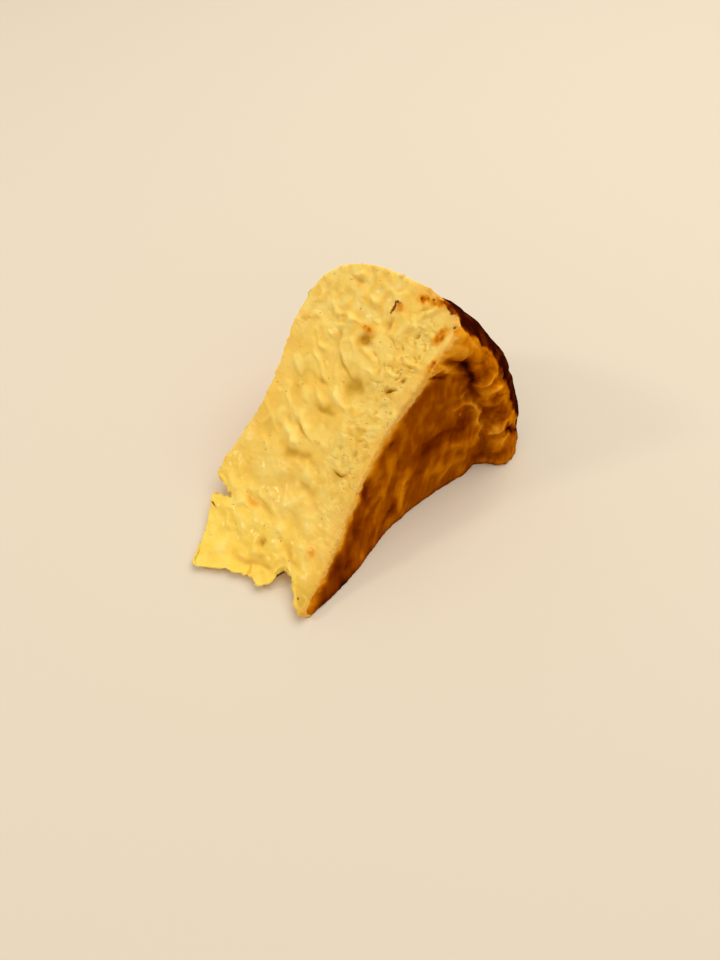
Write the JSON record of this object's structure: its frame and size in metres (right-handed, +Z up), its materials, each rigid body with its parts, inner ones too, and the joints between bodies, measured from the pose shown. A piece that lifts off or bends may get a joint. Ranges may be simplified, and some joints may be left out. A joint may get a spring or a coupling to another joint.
{
  "type": "basque cheesecake slice",
  "caption": "Wedge of burnt-top basque cheesecake lying on a cut face: creamy torn tip, pale lumpy cut face, browned dished top with a raised folded rim, dark rounded outer wall.",
  "frame": {"origin": "on the plane the slice lies on, under the middle of its bounding box", "axes": "+X from the torn tip to the cake's outer wall, +Y from the browned top of the cake to its bottom, +Z up from the lower cut face to the upper one"},
  "size_m": [0.1282, 0.0746, 0.0686],
  "materials": {
    "curd": "moist baked cream cheese, pale yellow inside, amber to dark brown skin on the top and wall",
    "vanilla_seed": "tiny dark seeds"
  },
  "bodies": {
    "root": {"cheesecake_slice": "curd"}
  },
  "joints": []
}
